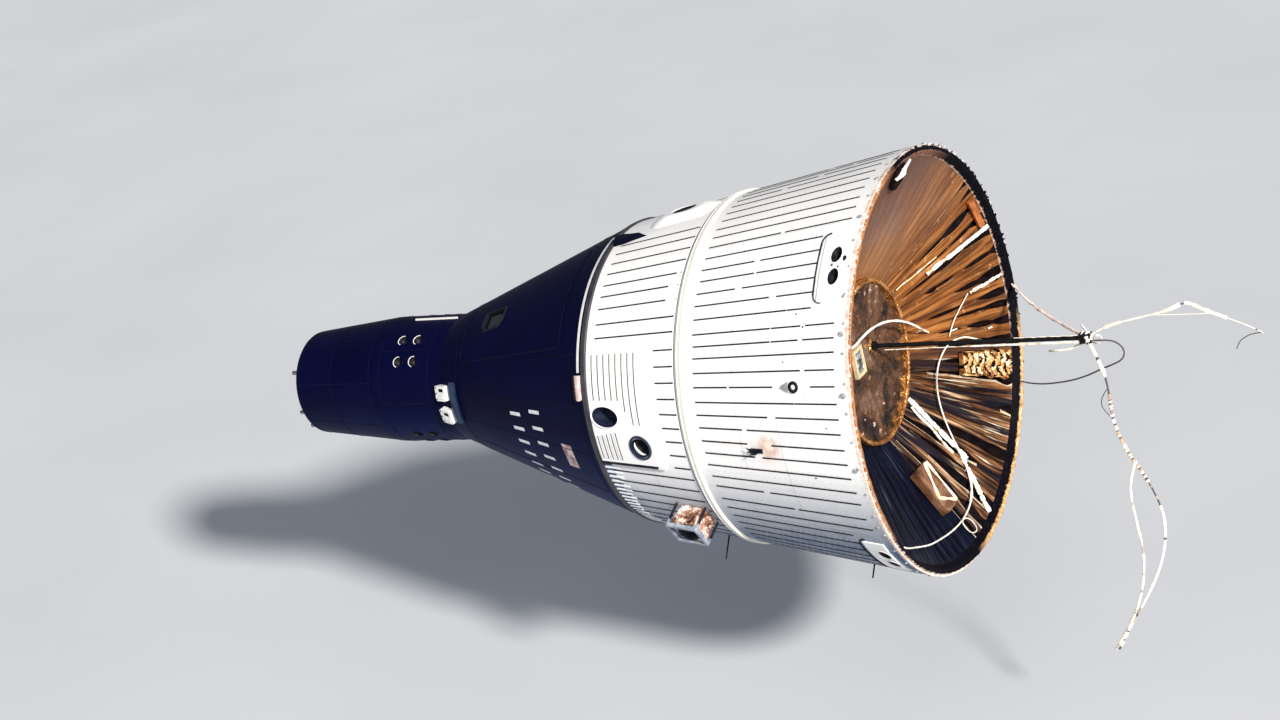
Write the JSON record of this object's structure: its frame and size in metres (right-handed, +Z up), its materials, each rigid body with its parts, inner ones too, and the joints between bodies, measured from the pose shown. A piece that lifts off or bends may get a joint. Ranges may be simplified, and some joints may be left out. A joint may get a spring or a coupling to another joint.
{
  "type": "two-seat space capsule with adapter module",
  "caption": "Cone-shaped crewed space capsule with a white aft adapter, foil-lined open base, long aft boom with loose straps, and two opening crew hatches.",
  "frame": {"origin": "centre of the base ring's aft face, where the launcher is bolted on", "axes": "+X along the roll axis towards the nose, +Y to the crew's left, +Z up through the two hatches"},
  "size_m": [7.7478, 3.0476, 3.8607],
  "materials": {
    "white_paint": "satin white thermal paint, weathered",
    "ring_metal": "machined",
    "black_shingle": "blue-black satin shingles",
    "hull_inner": "matt primer",
    "nozzle_dark": "dark refractory",
    "nozzle_rim": "satin white",
    "copper_foil": "crinkled copper foil",
    "gold_foil": "crinkled gold foil",
    "gold_curtain": "pleated gold film",
    "disc_foil": "crinkled dark foil",
    "block_brown": "baked primer",
    "band_metal": "heat tinted",
    "equipment": "bare",
    "shield_fibre": "cast ablative",
    "seat_shell": "grey paint",
    "seat_fabric": "woven pad",
    "panel_grey": "crackle grey",
    "window": "clear",
    "boom_black": "matt black",
    "strap_web": "woven tape",
    "strap_dark": "woven dark tape",
    "antenna_metal": "satin",
    "sensor_white": "satin white",
    "nose_grey": "matt fibre"
  },
  "bodies": {
    "spacecraft": {"adapter_thruster_nozzles": "nozzle_dark", "aft_boom": "boom_black", "aft_ring": "ring_metal", "attitude_control_section": "black_shingle", "attitude_thruster_nozzles": "nozzle_dark", "attitude_thruster_panels": "white_paint", "boom_tip_clamp": "boom_black", "cabin_aft_bulkhead": "hull_inner", "cabin_forward_bulkhead": "hull_inner", "cabin_panel_left": "black_shingle", "cabin_panel_right": "black_shingle", "cabin_shell_aft": "black_shingle", "cabin_shell_forward": "black_shingle", "cabin_spine": "black_shingle", "centre_console": "panel_grey", "curtain_boxes": "gold_foil", "curtain_disc": "disc_foil", "equipment_block": "equipment", "equipment_section_skin": "white_paint", "foil_wrapped_thrusters": "copper_foil", "heat_shield": "shield_fibre", "horizon_sensors": "sensor_white", "inner_cord_arc": "strap_web", "inner_cord_long": "strap_web", "instrument_panel": "panel_grey", "joint_band": "band_metal", "nose_cap": "nose_grey", "nose_fittings": "antenna_metal", "nose_thruster_nozzles": "nozzle_rim", "parachute_block": "equipment", "recovery_section": "black_shingle", "retro_motor_block": "equipment", "retro_section_skin": "white_paint", "seat_pads": "seat_fabric", "seats": "seat_shell", "sensor_ledge": "nose_grey", "separation_ridge": "white_paint", "side_bracket": "nozzle_dark", "strap_arch": "strap_web", "strap_dark_loop": "strap_dark", "strap_end_curl": "strap_dark", "strap_rim_to_boom": "strap_dark", "strap_trailing_long": "strap_web", "strap_trailing_short": "strap_web", "taut_tapes": "strap_web", "teardrop_port": "white_paint", "thermal_curtain": "gold_curtain", "thruster_fairing_left": "white_paint", "thruster_fairing_right": "white_paint", "thruster_fairings_top_bottom": "white_paint", "thruster_guard_frames": "boom_black", "top_rail": "sensor_white", "umbilical_block": "block_brown", "umbilical_fairing_top": "nose_grey", "whip_antennas": "antenna_metal"},
    "hatch_left_body": {"hatch_left": "black_shingle", "window_glass_left": "window"},
    "hatch_right_body": {"hatch_right": "black_shingle", "window_glass_right": "window"}
  },
  "joints": [
    {"name": "hatch_left_hinge", "type": "hinge", "parent": "spacecraft", "child": "hatch_left_body", "pos_m": [3.11, 0.69963, 0.40393], "axis": [-0.9342, 0.3089, 0.1783], "range_deg": [0, 105]},
    {"name": "hatch_right_hinge", "type": "hinge", "parent": "spacecraft", "child": "hatch_right_body", "pos_m": [3.11, -0.69963, 0.40393], "axis": [0.9342, 0.3089, -0.1783], "range_deg": [0, 105]}
  ]
}
